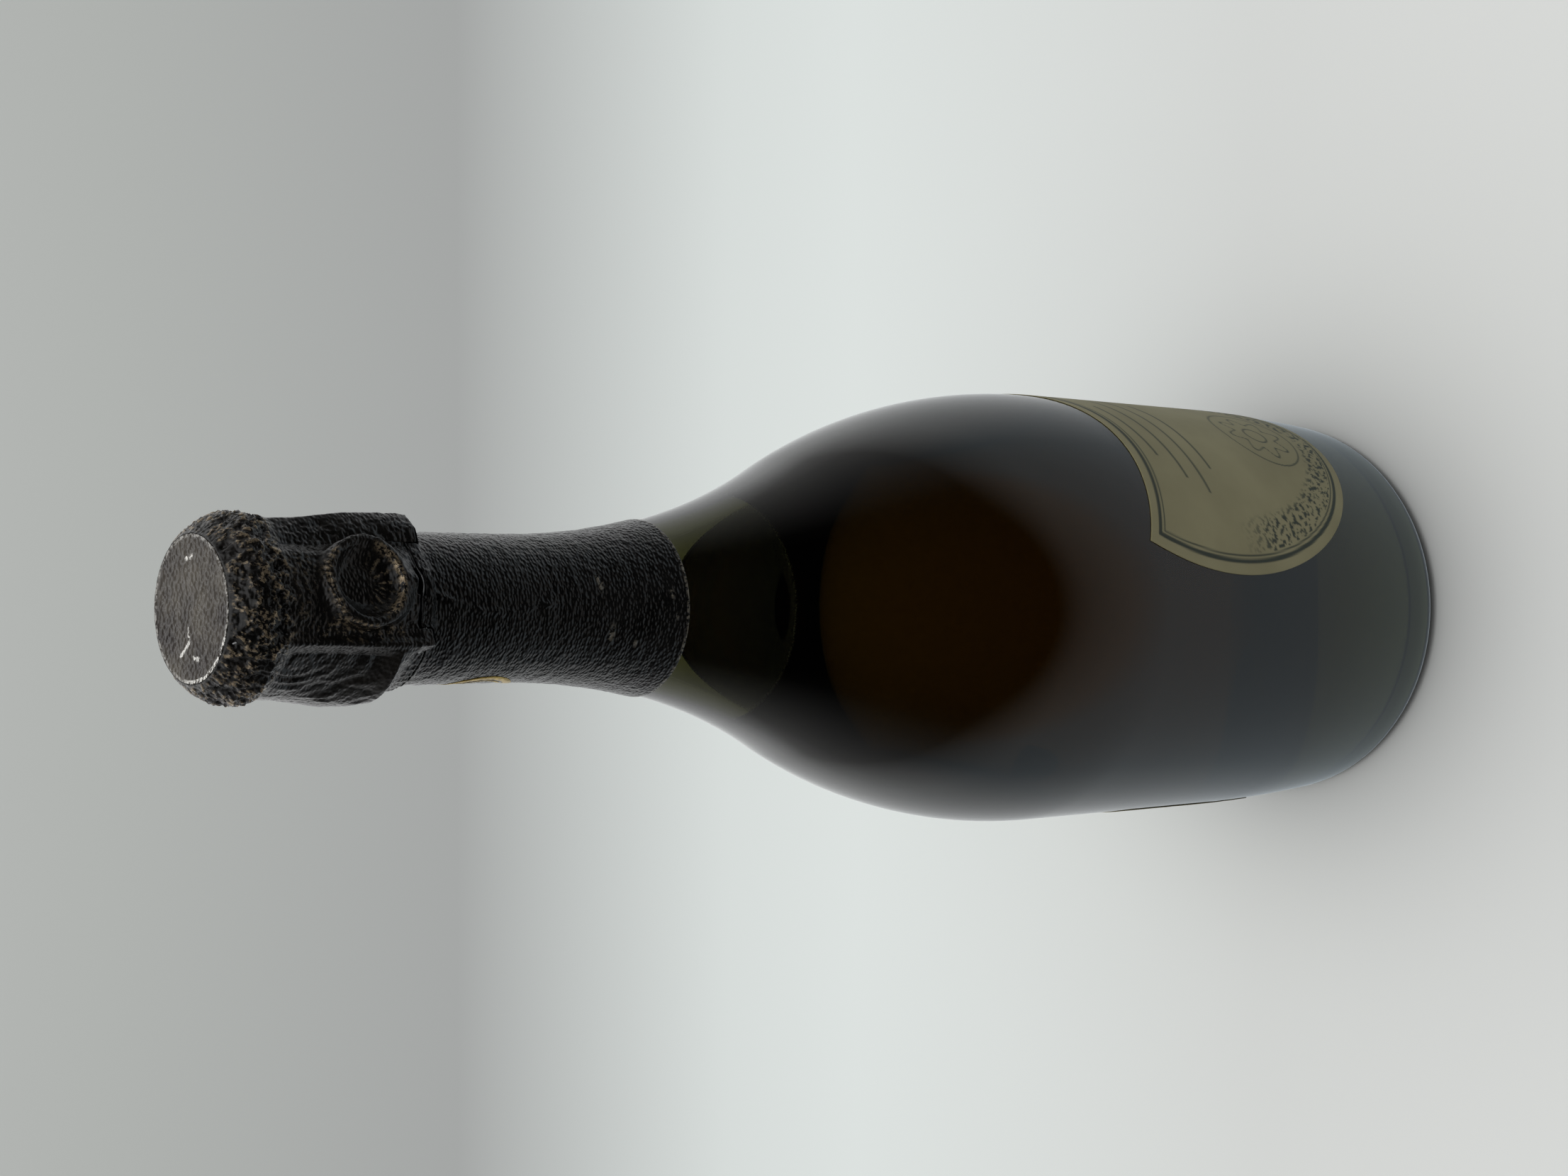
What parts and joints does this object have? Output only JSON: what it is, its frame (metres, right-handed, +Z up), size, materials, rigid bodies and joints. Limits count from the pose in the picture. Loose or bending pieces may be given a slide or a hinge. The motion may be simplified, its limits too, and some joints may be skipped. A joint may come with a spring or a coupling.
{
  "type": "sparkling wine bottle",
  "caption": "Sealed sparkling wine bottle with a cork under a wire cage and crumpled foil, paper labels and a hollow base.",
  "frame": {"origin": "centre of the bearing ring, on the plane of the table", "axes": "+Z up along the bottle's axis, -Y towards the middle of the front label"},
  "size_m": [0.0952, 0.0956, 0.305],
  "materials": {
    "green_glass": "gloss",
    "wine": "gloss",
    "black_foil": "satin",
    "disc_foil": "satin",
    "gold_print": "satin",
    "label_paper": "matte",
    "pressed_cork": "matte",
    "natural_cork": "matte",
    "plaque_tinplate": "satin",
    "steel_wire": "satin"
  },
  "bodies": {
    "bottle": {"bottle_glass": "green_glass", "wine": "wine", "neck_sleeve": "black_foil", "neck_emblem": "gold_print", "front_label": "label_paper", "back_label": "label_paper"},
    "cork": {"cork_body": "pressed_cork", "cork_disc_upper": "natural_cork", "cork_disc_lower": "natural_cork"},
    "cage": {"plaque": "plaque_tinplate", "cage_crown": "steel_wire", "cage_leg_1": "steel_wire", "cage_leg_2": "steel_wire", "cage_leg_3": "steel_wire", "cage_leg_4": "steel_wire", "belt_wire": "steel_wire"},
    "key": {"key_loop": "steel_wire", "key_foil": "black_foil"},
    "hood": {"foil_hood": "black_foil", "foil_top_disc": "disc_foil"}
  },
  "joints": [
    {"name": "cork_lift", "type": "slide", "parent": "bottle", "child": "cork", "axis": [0, 0, 1], "range_m": [0, 0.04], "deforming": ["belt_wire"]},
    {"name": "cage_lift", "type": "slide", "parent": "cork", "child": "cage", "axis": [0, 0, 1], "range_m": [0, 0.042], "deforming": ["belt_wire"]},
    {"name": "hood_lift", "type": "slide", "parent": "cage", "child": "hood", "axis": [0, 0, 1], "range_m": [0, 0.042]},
    {"name": "key_fold", "type": "hinge", "parent": "cage", "child": "key", "pos_m": [-0.00958, -0.01184, 0.26978], "axis": [0.7771, -0.6293, 0], "range_deg": [0, 95]}
  ]
}
